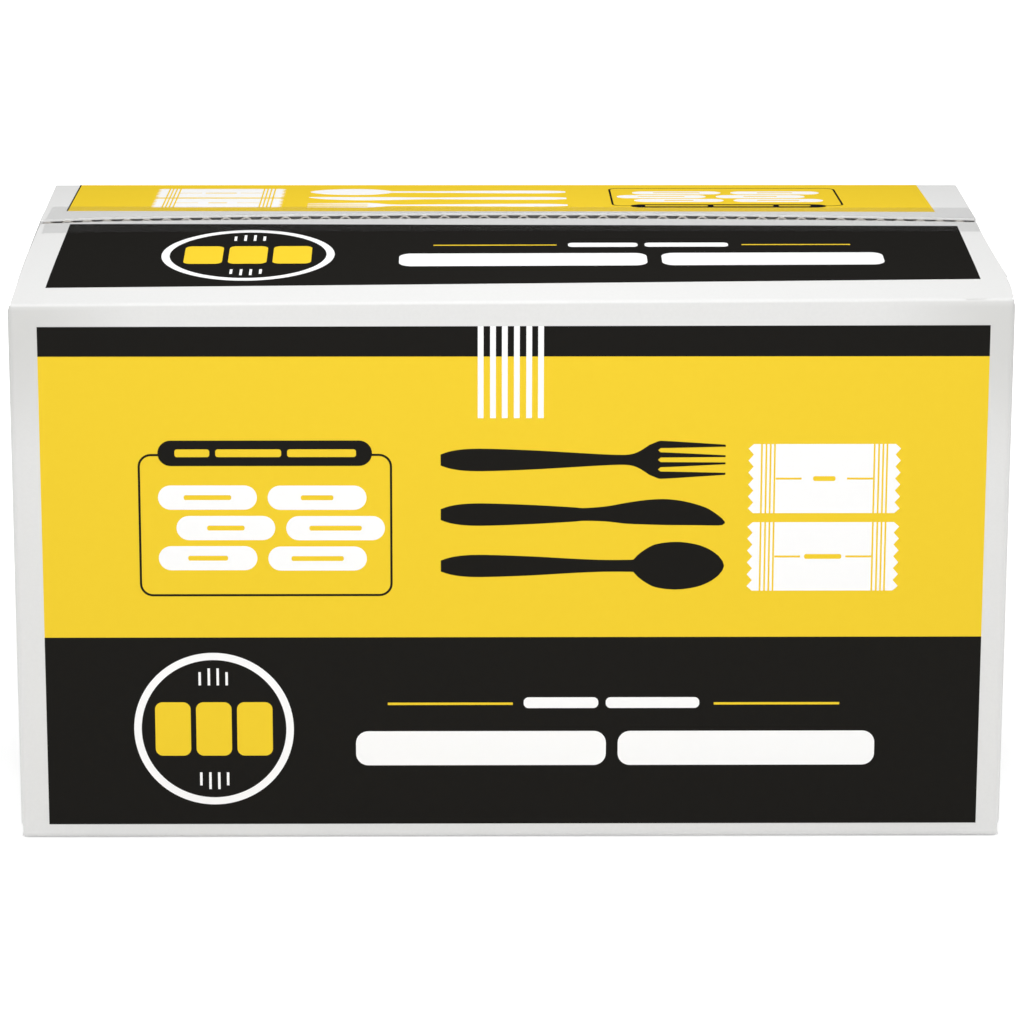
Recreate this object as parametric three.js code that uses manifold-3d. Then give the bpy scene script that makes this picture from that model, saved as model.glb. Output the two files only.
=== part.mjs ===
// A sealed shipping carton for wrapped cutlery: a slotted carton of corrugated board with its long
// flaps meeting over the top and the bottom, and a strip of clear tape along each seam.
// Millimetres, +Z up. X runs along the carton and its seams, and -Y is the front wall. The origin is
// on the floor under the middle.
import * as THREE from 'three';
import { mergeVertices } from 'three/addons/utils/BufferGeometryUtils.js';
import Module from 'manifold-3d';

// Carton
const length = 400;
const depth = 224;
const wallHeight = 225; // floor to the folds of the two long walls
const board = 4; // thickness of the corrugated board
const foldRadius = 2.5; // outside of a fold
const endFoldRise = 0.4; // how far the end walls' top folds stand above those of the long walls

// The long flaps, which the contents and the short flaps under them push up into a low ridge
const frontFlapRise = 7.9; // front flap's edge at the seam, above its fold
const rearFlapRise = 9.1;
const ridgeCrown = 1.9; // further rise of the ridge at its middle
const seamGap = 1; // between the two flap edges
const flapInsetAtFold = 1.2; // flap's end from the end wall's outside, at the fold
const flapInsetAtSeam = 4.4;
const underFlapRecess = 12; // how far the gap under the raised flaps runs in from their ends

// The maker's joint, where the rear wall's raw edge is glued over a tab on the left end wall
const jointInset = 1.5; // raw edge from the end wall's outside

// Tapes
const tapeThickness = 0.3;
const tapeClearance = 0.3; // between a tape and the board
const topTapeFront = 19; // how far the top tape reaches over the front flap
const topTapeRear = 41;
const topTapeTail = 62; // down each end wall, from its top fold
const bottomTapeWidth = 60;
const bottomTapeTail = 58; // up each end wall, from the floor
const bottomTapeLift = 0.2; // keeps the bottom tape just off the floor
const bottomTapeSideGap = 0.6;

// Facets
const foldFacets = 5; // along one rounded fold
const ridgeSteps = 10; // along the crowned ridge
const weldDistance = 1e-4;

// Worked out
const halfLength = length / 2;
const halfDepth = depth / 2;
const halfSeam = seamGap / 2;
const endFoldHeight = wallHeight + endFoldRise;
const tapeStandOff = tapeClearance + tapeThickness;
const bottomTapeRecess = bottomTapeLift + tapeStandOff;
const highest = wallHeight + Math.max(frontFlapRise, rearFlapRise) + ridgeCrown + tapeStandOff;

const wasm = await Module();
wasm.setup();

function solidOf(geometry) {
  const bare = geometry.clone();
  bare.deleteAttribute('normal');
  bare.deleteAttribute('uv');
  const welded = mergeVertices(bare, weldDistance);
  return new wasm.Manifold(new wasm.Mesh({
    numProp: 3,
    vertProperties: welded.attributes.position.array,
    triVerts: new Uint32Array(welded.index.array),
  }));
}

function meshOf(name, solid, material) {
  const { numProp, vertProperties, triVerts } = solid.getMesh();
  const positions = new Float32Array((vertProperties.length / numProp) * 3);
  for (let i = 0; i < positions.length; i += 1) {
    positions[i] = vertProperties[Math.floor(i / 3) * numProp + (i % 3)];
  }
  const geometry = new THREE.BufferGeometry();
  geometry.setAttribute('position', new THREE.BufferAttribute(positions, 3));
  geometry.setIndex(Array.from(triVerts));
  const flat = geometry.toNonIndexed();
  flat.computeVertexNormals();
  const mesh = new THREE.Mesh(flat, material);
  mesh.name = name;
  return mesh;
}

// A closed outline through corners of [x, y, radius], where a radius rounds its corner.
function outline(corners) {
  const shape = new THREE.Shape();
  const places = corners.map(([x, y]) => new THREE.Vector2(x, y));
  corners.forEach(([, , radius = 0], i) => {
    const corner = places[i];
    const back = places.at(i - 1).clone().sub(corner).normalize();
    const on = places[(i + 1) % places.length].clone().sub(corner).normalize();
    const reach = radius / Math.tan(back.angleTo(on) / 2);
    const start = corner.clone().addScaledVector(back, reach);
    const end = corner.clone().addScaledVector(on, reach);
    if (i === 0) {
      shape.moveTo(start.x, start.y);
    } else {
      shape.lineTo(start.x, start.y);
    }
    if (radius > 0) {
      shape.quadraticCurveTo(corner.x, corner.y, end.x, end.y);
    }
  });
  shape.closePath();
  return shape;
}

function extrude(shape, run, steps = 1) {
  return new THREE.ExtrudeGeometry(shape, {
    depth: run,
    steps,
    bevelEnabled: false,
    curveSegments: foldFacets,
  });
}

// A section drawn in Y and Z, run along X from a start.
function alongX(section, start, run, steps) {
  const geometry = extrude(section, run, steps);
  geometry.translate(0, 0, start);
  const toX = new THREE.Matrix4().makeBasis(
    new THREE.Vector3(0, 1, 0),
    new THREE.Vector3(0, 0, 1),
    new THREE.Vector3(1, 0, 0),
  );
  return geometry.applyMatrix4(toX);
}

// A section drawn in X and Z, run along Y about the middle.
function alongY(section, run) {
  const geometry = extrude(section, run);
  geometry.rotateX(Math.PI / 2);
  geometry.translate(0, run / 2, 0);
  return geometry;
}

// A plan drawn in X and Y, run up from one height to another.
function alongZ(plan, low, high) {
  const geometry = extrude(plan, high - low);
  geometry.translate(0, 0, low);
  return geometry;
}

// Lifts the ridge towards its middle. The folds and the ends stay where they are.
function crown(geometry) {
  const position = geometry.getAttribute('position');
  for (let i = 0; i < position.count; i += 1) {
    if (position.getZ(i) > wallHeight - board) {
      const fromEnd = 1 - (position.getX(i) / halfLength) ** 2;
      const fromFold = 1 - Math.abs(position.getY(i)) / halfDepth;
      const lift = ridgeCrown * Math.max(fromEnd, 0) * Math.max(fromFold, 0);
      position.setZ(i, position.getZ(i) + lift);
    }
  }
  return geometry;
}

// Height of the flaps' outside at the carton's ends, for a distance from the seam.
function lidHeight(y) {
  const rise = y < 0 ? frontFlapRise : rearFlapRise;
  return wallHeight + rise * (1 - Math.abs(y) / halfDepth);
}

// The four walls and their vertical folds, with the maker's joint at the left rear corner.
function wallPlan() {
  return outline([
    [-halfLength, -halfDepth, foldRadius],
    [halfLength, -halfDepth, foldRadius],
    [halfLength, halfDepth, foldRadius],
    [-halfLength + jointInset, halfDepth],
    [-halfLength + jointInset, halfDepth - board],
    [-halfLength, halfDepth - board, jointInset],
  ]);
}

// The long flaps' ends stand in from the end walls, more so towards the seam.
function flapPlan() {
  const atFold = halfLength - flapInsetAtFold;
  const atSeam = halfLength - flapInsetAtSeam;
  const past = halfDepth + board;
  return outline([
    [-atFold, -past],
    [atFold, -past],
    [atFold, -halfDepth],
    [atSeam, 0],
    [atFold, halfDepth],
    [atFold, past],
    [-atFold, past],
    [-atFold, halfDepth],
    [-atSeam, 0],
    [-atFold, -halfDepth],
  ]);
}

// The carton across its seams: long walls, their folds, the low ridge, and the two seams' gaps.
function crossSection() {
  const halfRecess = bottomTapeWidth / 2 + bottomTapeSideGap;
  const gapFloor = wallHeight + frontFlapRise - board;
  return outline([
    [-halfDepth, 0, foldRadius],
    [-halfRecess, 0],
    [-halfRecess, bottomTapeRecess],
    [-halfSeam, bottomTapeRecess],
    [-halfSeam, board],
    [halfSeam, board],
    [halfSeam, bottomTapeRecess],
    [halfRecess, bottomTapeRecess],
    [halfRecess, 0],
    [halfDepth, 0, foldRadius],
    [halfDepth, wallHeight, foldRadius],
    [halfSeam, lidHeight(halfSeam)],
    [halfSeam, gapFloor],
    [-halfSeam, gapFloor],
    [-halfSeam, lidHeight(-halfSeam)],
    [-halfDepth, wallHeight, foldRadius],
  ]);
}

// The end walls from the side, between the folds of the short flaps.
function endSection() {
  return outline([
    [-halfLength, board, foldRadius],
    [halfLength, board, foldRadius],
    [halfLength, endFoldHeight, foldRadius],
    [-halfLength, endFoldHeight, foldRadius],
  ]);
}

// The low gap between the end wall's fold and the underside of the raised long flaps.
function underFlapSection() {
  const reach = (rise) => halfDepth * (1 - (board + endFoldRise) / rise);
  return outline([
    [-reach(frontFlapRise), endFoldHeight],
    [reach(rearFlapRise), endFoldHeight],
    [halfSeam, lidHeight(halfSeam) - board],
    [-halfSeam, lidHeight(-halfSeam) - board],
  ]);
}

function cartonSolid() {
  const past = board; // how far a section runs past what it cuts
  const shellRun = length + 2 * past;
  const shell = solidOf(crown(alongX(crossSection(), -shellRun / 2, shellRun, ridgeSteps)));
  const plan = solidOf(alongZ(wallPlan(), -past, highest + past));
  const walls = shell.intersect(plan).intersect(solidOf(alongY(endSection(), depth + 2 * past)));
  const bottomFlaps = shell.intersect(solidOf(alongZ(flapPlan(), -past, 2 * board)));
  let topFlaps = shell.intersect(solidOf(alongZ(flapPlan(), wallHeight - board, highest + past)));
  const recessRun = underFlapRecess + past;
  for (const start of [-halfLength - past, halfLength - underFlapRecess]) {
    topFlaps = topFlaps.subtract(solidOf(alongX(underFlapSection(), start, recessRun)));
  }
  return walls.add(bottomFlaps).add(topFlaps);
}

// The film over the top seam follows the flaps and bridges the step between their edges.
function topTapeSolid() {
  const outside = [-topTapeFront, -halfSeam, halfSeam, topTapeRear];
  const over = (standOff) => outside.map((y) => [y, lidHeight(y) + standOff]);
  const strip = outline([...over(tapeClearance), ...over(tapeStandOff).reverse()]);
  const stripRun = length + 2 * tapeStandOff;
  let tape = solidOf(crown(alongX(strip, -stripRun / 2, stripRun, ridgeSteps)));
  const tailEnd = endFoldHeight - topTapeTail;
  const tail = outline([
    [-topTapeFront, tailEnd],
    [topTapeRear, tailEnd],
    ...over(tapeStandOff).reverse(),
  ]);
  for (const start of [-halfLength - tapeStandOff, halfLength + tapeClearance]) {
    tape = tape.add(solidOf(alongX(tail, start, tapeThickness)));
  }
  return tape;
}

// The film over the bottom seam lies in the board, so that the carton rests on its flaps.
function bottomTapeSolid() {
  const outside = halfLength + tapeStandOff;
  const inside = halfLength + tapeClearance;
  const film = outline([
    [-outside, bottomTapeLift],
    [outside, bottomTapeLift],
    [outside, bottomTapeTail],
    [inside, bottomTapeTail],
    [inside, bottomTapeLift + tapeThickness],
    [-inside, bottomTapeLift + tapeThickness],
    [-inside, bottomTapeTail],
    [-outside, bottomTapeTail],
  ]);
  return solidOf(alongY(film, bottomTapeWidth));
}

const coatedBoard = new THREE.MeshStandardMaterial({ color: 0xe2e2df, roughness: 0.6, metalness: 0 });
const clearTape = new THREE.MeshStandardMaterial({
  color: 0xd2d3d2,
  roughness: 0.25,
  metalness: 0,
  transparent: true,
  opacity: 0.35,
});

const group = new THREE.Group();
group.add(meshOf('carton', cartonSolid(), coatedBoard));
group.add(meshOf('top_tape', topTapeSolid(), clearTape));
group.add(meshOf('bottom_tape', bottomTapeSolid(), clearTape));

export default group;
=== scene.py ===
import math
from collections import namedtuple

import bmesh
import bpy
from mathutils import Matrix, Vector


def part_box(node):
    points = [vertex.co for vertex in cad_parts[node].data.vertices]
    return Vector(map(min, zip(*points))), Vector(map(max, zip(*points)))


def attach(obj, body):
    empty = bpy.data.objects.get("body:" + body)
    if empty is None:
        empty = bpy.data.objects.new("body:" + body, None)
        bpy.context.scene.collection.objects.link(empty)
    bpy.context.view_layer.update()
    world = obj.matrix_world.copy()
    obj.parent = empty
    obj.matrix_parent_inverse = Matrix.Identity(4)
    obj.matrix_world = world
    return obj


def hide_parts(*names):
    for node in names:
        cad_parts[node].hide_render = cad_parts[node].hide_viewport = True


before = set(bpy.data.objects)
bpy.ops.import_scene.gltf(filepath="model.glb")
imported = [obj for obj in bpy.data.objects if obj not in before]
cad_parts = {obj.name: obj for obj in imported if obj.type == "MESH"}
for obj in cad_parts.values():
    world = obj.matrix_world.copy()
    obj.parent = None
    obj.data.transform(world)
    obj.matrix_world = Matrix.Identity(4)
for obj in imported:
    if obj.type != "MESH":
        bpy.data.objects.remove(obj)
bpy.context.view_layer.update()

# The carton is drawn as its flat blank, in millimetres, and then folded up. On the flat blank s runs
# round the four walls, t runs up from the floor over the top flaps, and h stands out of the board.
MM = 0.001

# Carton
carton_low, carton_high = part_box("carton")
HALF_LENGTH = (carton_high.x - carton_low.x) / MM / 2
HALF_DEPTH = (carton_high.y - carton_low.y) / MM / 2
WALL = 225  # floor to the long walls' top folds
BOARD = 4
LINER = 0.35  # paper on each side of the flutes
FLUTE = 8.3  # from crest to crest
MEDIUM = 0.75  # the wavy paper between them, as thick as its torn, fuzzy edge
FOLD = 2.5  # outside radius of a fold
TOP_FOLD = 1.2  # the same where the long top flaps are pressed down
CRUSHED = 0.4  # board left inside a scored fold
HALF_SEAM = 0.5
SHORT_FLAP_PLAY = 0.2  # between a short flap and the long flaps over it

# The long flaps stand over the contents in a low ridge
FRONT_RISE = 7.9
REAR_RISE = 9.1
RIDGE_CROWN = 1.9  # further rise at the middle of the seam
CROWN_POWER = 8  # keeps the crown near the seam
EDGE_SPRING = 0.75  # how far the rear flap's edge springs up at its middle
SPRING_RUN = 7
EDGE_ROLL = 1.1  # radius to which the knife rolled the liner at the seam
STEEPER = 1.2  # extra slope of the front flap at its fold, as a share
STEEPER_RUN = 30
FOLD_SLANT = 1.17  # how far the front fold rises from the middle to its right end
SLANT_FROM = 205  # height where the front wall starts to follow it
DROOP = 1.5  # of the seam's left end, pressed down by the tape
DROOP_RUN = 5
END_WALL_GIVE = 0.4  # how far an end wall's top gives way under the long flaps
CORNER_RUN = 8  # from the carton's corner, over which it starts to

# Cut edges
LONG_FLAP_INSET = 1.2  # flap's end from the end wall's outside, at the fold
LONG_FLAP_TAPER = 3.2  # further inset at the seam
END_BULGE = 1.9  # how far the front flap's right end stands out of that line
END_BULGE_AT = 17  # from the fold
SHORT_FLAP_INSET = 6
JOINT_INSET = 1.5
JOINT_FOLD = 1.5
JOINT_TAB = 35
JOINT_TAB_MARGIN = 10
FLUTE_DEPTH = 7  # how far one sees in between the liners at a cut across the flutes
EDGE_DEPTH = 0.8  # and at a cut along them
MEDIUM_RECESS = 0.05
END_REACH = 7  # a long flap's cut end lies within this distance of the end wall

# Painted shade, greying the board's colour towards the front wall's top corners
CORNER_SHADE_HEIGHT = 214
CORNER_SHADE_RUN = 60

# Tape
TAPE_THICKNESS = 0.1
TAPE_STAND_OFF = 0.25
TAPE_FRONT = 17.5
TAPE_REAR = 34.5
TAPE_SLANT = 2.6  # how far the rear edge runs askew from the middle to an end
TAPE_TAIL = 59
TAPE_DROP = 11  # film between the flaps' ends and the end wall
BRIDGE = (-2.4, 0.9)  # where the film leaves the front and the rear flap to cross the gap
ROLLED_TO = 2.5  # how far the rolled edge reaches over the rear flap
BOTTOM_TAPE_HALF = 30
BOTTOM_TAPE_TAIL = 58
BOTTOM_TAPE_LIFT = 0.05

# Print
INK = 0.04  # height of one layer of print, as drawn
INK_ROOT = 0.3  # how far a layer reaches down into the board
BAND_LOW = 6  # the walls' lower black band, over the floor
BAND_HIGH = 85.8
FIELD_HIGH = 202.6  # top of the front wall's yellow field
PRINT_HIGH = 215  # top of the front wall's print

# A panel's middle on the blank and its reach before and after it, where its middle stands, the ways that
# it runs and faces, the radii of the folds at its two ends, and whether it is a long wall
Panel = namedtuple("Panel", "middle before after x y along out fold_before fold_after long")
SIDE_MIDDLE = HALF_LENGTH + HALF_DEPTH
REAR_MIDDLE = 2 * SIDE_MIDDLE
TAB_START = -HALF_LENGTH - 2 * HALF_DEPTH + BOARD
PANELS = {
    "front": Panel(0, HALF_LENGTH, HALF_LENGTH, 0, -HALF_DEPTH, (1, 0), (0, -1), FOLD, FOLD, True),
    "right": Panel(SIDE_MIDDLE, HALF_DEPTH, HALF_DEPTH, HALF_LENGTH, 0, (0, 1), (1, 0), FOLD, FOLD, False),
    "rear": Panel(
        REAR_MIDDLE, HALF_LENGTH, HALF_LENGTH - JOINT_INSET, 0, HALF_DEPTH, (-1, 0), (0, 1),
        FOLD, 0, True,
    ),
    "left": Panel(
        -SIDE_MIDDLE, HALF_DEPTH - BOARD, HALF_DEPTH, -HALF_LENGTH, 0, (0, -1), (-1, 0),
        JOINT_FOLD, FOLD, False,
    ),
    "tab": Panel(
        TAB_START - JOINT_TAB / 2, JOINT_TAB / 2, JOINT_TAB / 2,
        JOINT_TAB / 2 - HALF_LENGTH, HALF_DEPTH - BOARD, (-1, 0), (0, 1), 0, JOINT_FOLD, False,
    ),
}


def panel_at(s):
    """The name of the panel that a place on the blank belongs to."""
    if s < TAB_START:
        return "tab"
    if s < -HALF_LENGTH:
        return "left"
    if s <= HALF_LENGTH:
        return "front"
    if s < HALF_LENGTH + 2 * HALF_DEPTH:
        return "right"
    return "rear"


def fold_slant(x):
    """How far the front fold stands above or below its mean height."""
    return FOLD_SLANT * x / HALF_LENGTH


def lid_rise(side, x, v):
    """Height of a long flap's outside over its fold, at a distance v from the fold."""
    share = max(v / HALF_DEPTH, 0)
    from_end = max(1 - (x / HALF_LENGTH) ** 2, 0)
    bent = v + STEEPER * STEEPER_RUN * math.tanh(v / STEEPER_RUN)
    rise = FRONT_RISE * bent / (HALF_DEPTH + STEEPER * STEEPER_RUN) if side < 0 else REAR_RISE * share
    rise += RIDGE_CROWN * from_end * share ** CROWN_POWER
    rise -= DROOP * math.exp(-max(x + HALF_LENGTH - LONG_FLAP_INSET, 0) / DROOP_RUN) * share ** 6
    if side < 0:
        return rise + fold_slant(x) * max(1 - share, 0)
    return rise + EDGE_SPRING * from_end * math.exp((v - HALF_DEPTH) / SPRING_RUN)


def rolled_edge(v, h):
    """How far the board is pressed down along its cut edge at the seam, most of all its outside."""
    past = min(max(v - (HALF_DEPTH - HALF_SEAM - EDGE_ROLL), 0), EDGE_ROLL)
    drop = EDGE_ROLL - math.sqrt(EDGE_ROLL ** 2 - past ** 2)
    return drop * min(max(h + BOARD - LINER, 0) / (BOARD - LINER), 1)


def lid_height(x, y):
    """Height of the closed lid's outside over the floor."""
    return WALL + lid_rise(-1 if y < 0 else 1, x, max(HALF_DEPTH - abs(y), 0))


def round_the_corner(panel, u, h):
    """Place along a wall and out of it, with the vertical folds rounded."""
    reach, radius = (panel.after, panel.fold_after) if u > 0 else (panel.before, panel.fold_before)
    past = abs(u) - (reach - radius)
    if radius == 0 or past <= 0:
        return u, h
    turned = min(past / radius, 1) * math.pi / 4
    bend = max(radius + h, CRUSHED)
    along = reach - radius + bend * math.sin(turned)
    return math.copysign(along, u), bend * math.cos(turned) - radius


def over_the_fold(beyond, h, radius):
    """Turn, way inwards and height over a fold's foot, for a place that far beyond the foot."""
    share = beyond / (2 * radius)
    if share >= 1:
        return 1, beyond - radius, radius + h
    bend = max(radius + h, CRUSHED)
    angle = share * math.pi / 2
    return share, radius - bend * math.cos(angle), bend * math.sin(angle)


def end_wall_lift(x, y):
    """How far an end wall's top and its short flap give way under the long flaps."""
    corner = max(min((HALF_DEPTH - abs(y)) / CORNER_RUN, 1), 0)
    under = lid_rise(-1 if y < 0 else 1, x, HALF_DEPTH - abs(y)) - BOARD - SHORT_FLAP_PLAY
    slant = fold_slant(x) if y < 0 else 0
    return min(under, END_WALL_GIVE) * corner + slant * (1 - corner)


def on_panel(panel, u, t, h):
    """Place along a folded wall, out of it and up."""
    along, out = round_the_corner(panel, u, h)
    foot = 0 if panel.long else BOARD + SHORT_FLAP_PLAY
    top_fold = TOP_FOLD if panel.long else FOLD
    if foot + FOLD <= t <= WALL - top_fold:
        return along, out, t
    if t > WALL - top_fold:
        turn, inward, up = over_the_fold(t - WALL + top_fold, h, top_fold)
        z = WALL - top_fold + up
    else:
        turn, inward, down = over_the_fold(foot + FOLD - t, h, FOLD)
        z = foot + FOLD - down
    return along + (u - along) * turn, (out - h) * (1 - turn) - inward, z


def folded(s, t, h):
    """Where a place on the flat blank is once the carton stands folded, in millimetres."""
    name = panel_at(s)
    panel = PANELS[name]
    along, out, z = on_panel(panel, s - panel.middle, t, h)
    if h < -LINER:
        _, outside, _ = on_panel(panel, s - panel.middle, t, 0)
        out = min(out, outside - CRUSHED)
    x = panel.x + along * panel.along[0] + out * panel.out[0]
    y = panel.y + along * panel.along[1] + out * panel.out[1]
    follows = max((t - SLANT_FROM) / (WALL - SLANT_FROM), 0)
    if panel.long and t > SLANT_FROM:
        side = -1 if name == "front" else 1
        if t > WALL:
            z += lid_rise(side, x, t - WALL) - rolled_edge(t - WALL, h)
        elif side < 0:
            z += fold_slant(x) * follows ** 2
    elif t > SLANT_FROM and name != "tab":
        z += end_wall_lift(x, y) * min(follows, 1) ** 2
    return x, y, z


# Modelling by hand

def only(piece):
    """Selects one piece and nothing else."""
    if bpy.context.object and bpy.context.object.mode != "OBJECT":
        bpy.ops.object.mode_set(mode="OBJECT")
    bpy.ops.object.select_all(action="DESELECT")
    piece.select_set(True)
    bpy.context.view_layer.objects.active = piece
    return piece


def place_applied(piece):
    """Puts a piece's place, turn and size into its mesh."""
    only(piece)
    bpy.ops.object.transform_apply(location=True, rotation=True, scale=True)
    return piece


def choose_faces(piece, test):
    """In edit mode, selects the faces whose middle passes a test."""
    bpy.ops.mesh.select_mode(type="FACE")
    bpy.ops.mesh.select_all(action="DESELECT")
    mesh = bmesh.from_edit_mesh(piece.data)
    for face in mesh.faces:
        if test(face.calc_center_median()):
            face.select_set(True)
    mesh.select_flush_mode()
    bmesh.update_edit_mesh(piece.data)


def modified(piece, kind, **settings):
    """Adds a modifier with its settings and applies it."""
    only(piece)
    modifier = piece.modifiers.new(kind, kind)
    for name, value in settings.items():
        setattr(modifier, name, value)
    bpy.ops.object.modifier_apply(modifier=modifier.name)
    return piece


def cut_lines(piece, axis, places):
    """Cuts a flat piece along straight lines across s (axis 0) or t (axis 1)."""
    only(piece)
    low = min(v.co[axis] for v in piece.data.vertices)
    high = max(v.co[axis] for v in piece.data.vertices)
    bpy.ops.object.mode_set(mode="EDIT")
    for place in places:
        if low + 0.01 < place < high - 0.01:
            bpy.ops.mesh.select_all(action="SELECT")
            point = [0, 0, 0]
            way = [0, 0, 0]
            point[axis] = place
            way[axis] = 1
            bpy.ops.mesh.bisect(plane_co=point, plane_no=way)
    bpy.ops.object.mode_set(mode="OBJECT")
    return piece


def joined(pieces):
    """Makes several pieces one."""
    bpy.ops.object.select_all(action="DESELECT")
    for piece in pieces:
        piece.select_set(True)
    bpy.context.view_layer.objects.active = pieces[0]
    if len(pieces) > 1:
        bpy.ops.object.join()
    return bpy.context.object


def spread(start, end, step):
    """Places from start to end, evenly and at most a step apart."""
    count = max(math.ceil((end - start) / step), 1)
    return [start + (end - start) * i / count for i in range(count + 1)]


# Lines along which the board may bend, the same for board and print
FOLD_STEPS = 6


def across_a_fold(middle):
    """Places from one end of a rounded fold to the other."""
    return {round(middle + (i - FOLD_STEPS / 2) * 2 * FOLD / FOLD_STEPS, 3) for i in range(FOLD_STEPS + 1)}


CORNERS = [-HALF_LENGTH, HALF_LENGTH, HALF_LENGTH + 2 * HALF_DEPTH]
S_LINES = sorted(
    set().union(*map(across_a_fold, CORNERS))
    | {round(TAB_START + i * JOINT_FOLD / 3, 3) for i in range(-3, 4)}
    | {round(p.middle + u, 3) for p in PANELS.values() for u in spread(-p.before + 6, p.after - 6, 25)}
    | {HALF_LENGTH - LONG_FLAP_INSET, LONG_FLAP_INSET - HALF_LENGTH}
    | {REAR_MIDDLE + HALF_LENGTH - LONG_FLAP_INSET, REAR_MIDDLE - HALF_LENGTH + LONG_FLAP_INSET}
)
FEET = [0, BOARD + SHORT_FLAP_PLAY]
TOP_FOLD_LINES = range(-FOLD_STEPS, FOLD_STEPS + 1, 2)
NEAR_SEAM = (12, 9, 6.5, 4, 2, 1, 0.7, 0.45, 0.25, 0.1)  # ever closer on the rolled edge
FLAT_PARTS = {-60, 60, 120, 170}  # lines that keep the faces of the bottom flaps and walls short
T_LINES = sorted(
    set().union(*map(across_a_fold, FEET))
    | {round(WALL + i * radius / FOLD_STEPS, 3) for radius in (FOLD, TOP_FOLD) for i in TOP_FOLD_LINES}
    | {round(t, 3) for t in spread(WALL + 2 * FOLD, WALL + HALF_DEPTH - 16, 8)}
    | {round(WALL + HALF_DEPTH - HALF_SEAM - distance, 3) for distance in NEAR_SEAM}
    | {round(t, 3) for t in spread(SLANT_FROM, WALL - FOLD, 6)}
    | {JOINT_TAB_MARGIN, WALL - JOINT_TAB_MARGIN}
    | FLAT_PARTS
)


def folded_up(piece):
    """Folds a piece that was drawn on the flat blank, and remembers where each point of it was there."""
    flat = piece.data.attributes.new("blank", "FLOAT_VECTOR", "POINT")
    for vertex in piece.data.vertices:
        flat.data[vertex.index].vector = vertex.co * MM
        vertex.co = Vector(folded(*vertex.co)) * MM
    piece.data.update()
    return piece


def finished(piece, name, materials, slot, *nodes):
    """Names a piece, gives it its materials, hangs it on the root body and hides the CAD nodes it stands
    for; the slot is not used.
    """
    piece.name = name
    piece.data.name = name
    piece.data.materials.clear()
    for material in materials:
        piece.data.materials.append(material)
    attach(piece, "root")
    if nodes:
        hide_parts(*nodes)
    return piece


# Materials

def linear(code):
    """An sRGB hex colour as linear red, green, blue and alpha."""
    parts = [int(code[i:i + 2], 16) / 255 for i in (1, 3, 5)]
    return [c / 12.92 if c <= 0.04045 else ((c + 0.055) / 1.055) ** 2.4 for c in parts] + [1]


def add_node(tree, kind, inputs=None, **settings):
    """Adds a node, with its settings, and its inputs as values or as the sockets they come from."""
    node = tree.nodes.new(kind)
    for name, value in settings.items():
        setattr(node, name, value)
    for name, value in (inputs or {}).items():
        if isinstance(value, bpy.types.NodeSocket):
            tree.links.new(value, node.inputs[name])
        else:
            node.inputs[name].default_value = value
    return node


def new_material(name):
    material = bpy.data.materials.new(name)
    material.use_nodes = True
    material.node_tree.nodes.clear()
    return material, material.node_tree


def surface(tree, shader):
    add_node(tree, "ShaderNodeOutputMaterial", {"Surface": shader.outputs[0]})


def coated_white_liner():
    """White-top liner, clay coated: satin, a trace of fibre, with painted shade greying the front wall's
    top corners.
    """
    material, tree = new_material("coated_white_liner")
    place = add_node(tree, "ShaderNodeTexCoord").outputs["Object"]
    fibre = add_node(tree, "ShaderNodeTexNoise", {"Vector": place, "Scale": 1 / (1.2 * MM), "Detail": 3.0})
    unshaded = add_node(
        tree, "ShaderNodeMix",
        {"Factor": fibre.outputs["Fac"], "A": linear("#e2e2e1"), "B": linear("#e7e7e6")},
        data_type="RGBA",
    )
    blank = add_node(tree, "ShaderNodeAttribute", attribute_name="blank").outputs["Vector"]
    # Painted shade: the colour greys towards the front wall's top corners, below the fold
    either_side = add_node(tree, "ShaderNodeVectorMath", operation="ABSOLUTE")
    tree.links.new(blank, either_side.inputs[0])
    from_corner = add_node(tree, "ShaderNodeVectorMath", operation="DISTANCE")
    tree.links.new(either_side.outputs[0], from_corner.inputs[0])
    from_corner.inputs[1].default_value = (HALF_LENGTH * MM, CORNER_SHADE_HEIGHT * MM, 0)
    corner_shade = add_node(
        tree, "ShaderNodeMapRange",
        {
            "Value": from_corner.outputs["Value"], "From Min": 5 * MM, "From Max": CORNER_SHADE_RUN * MM,
            "To Min": 1.0, "To Max": 0.0,
        },
        interpolation_type="SMOOTHSTEP",
    )
    up_the_wall = add_node(tree, "ShaderNodeSeparateXYZ", {"Vector": blank}).outputs["Y"]
    below_fold = add_node(
        tree, "ShaderNodeMapRange",
        {
            "Value": up_the_wall, "From Min": (WALL - 3) * MM, "From Max": WALL * MM,
            "To Min": 1.0, "To Max": 0.0,
        },
    )
    both = add_node(tree, "ShaderNodeMath", operation="MULTIPLY")
    tree.links.new(corner_shade.outputs["Result"], both.inputs[0])
    tree.links.new(below_fold.outputs["Result"], both.inputs[1])
    # The darker grey is the painted shade at those corners
    tone = add_node(
        tree, "ShaderNodeMix",
        {"Factor": both.outputs[0], "A": unshaded.outputs["Result"], "B": linear("#d6d6d4")},
        data_type="RGBA",
    )
    bump = add_node(
        tree, "ShaderNodeBump",
        {"Height": fibre.outputs["Fac"], "Strength": 0.1, "Distance": 0.02 * MM},
    )
    shader = add_node(
        tree, "ShaderNodeBsdfPrincipled",
        {
            "Base Color": tone.outputs["Result"], "Roughness": 0.55, "Specular IOR Level": 0.15,
            "Normal": bump.outputs["Normal"],
        },
    )
    surface(tree, shader)
    return material


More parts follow.
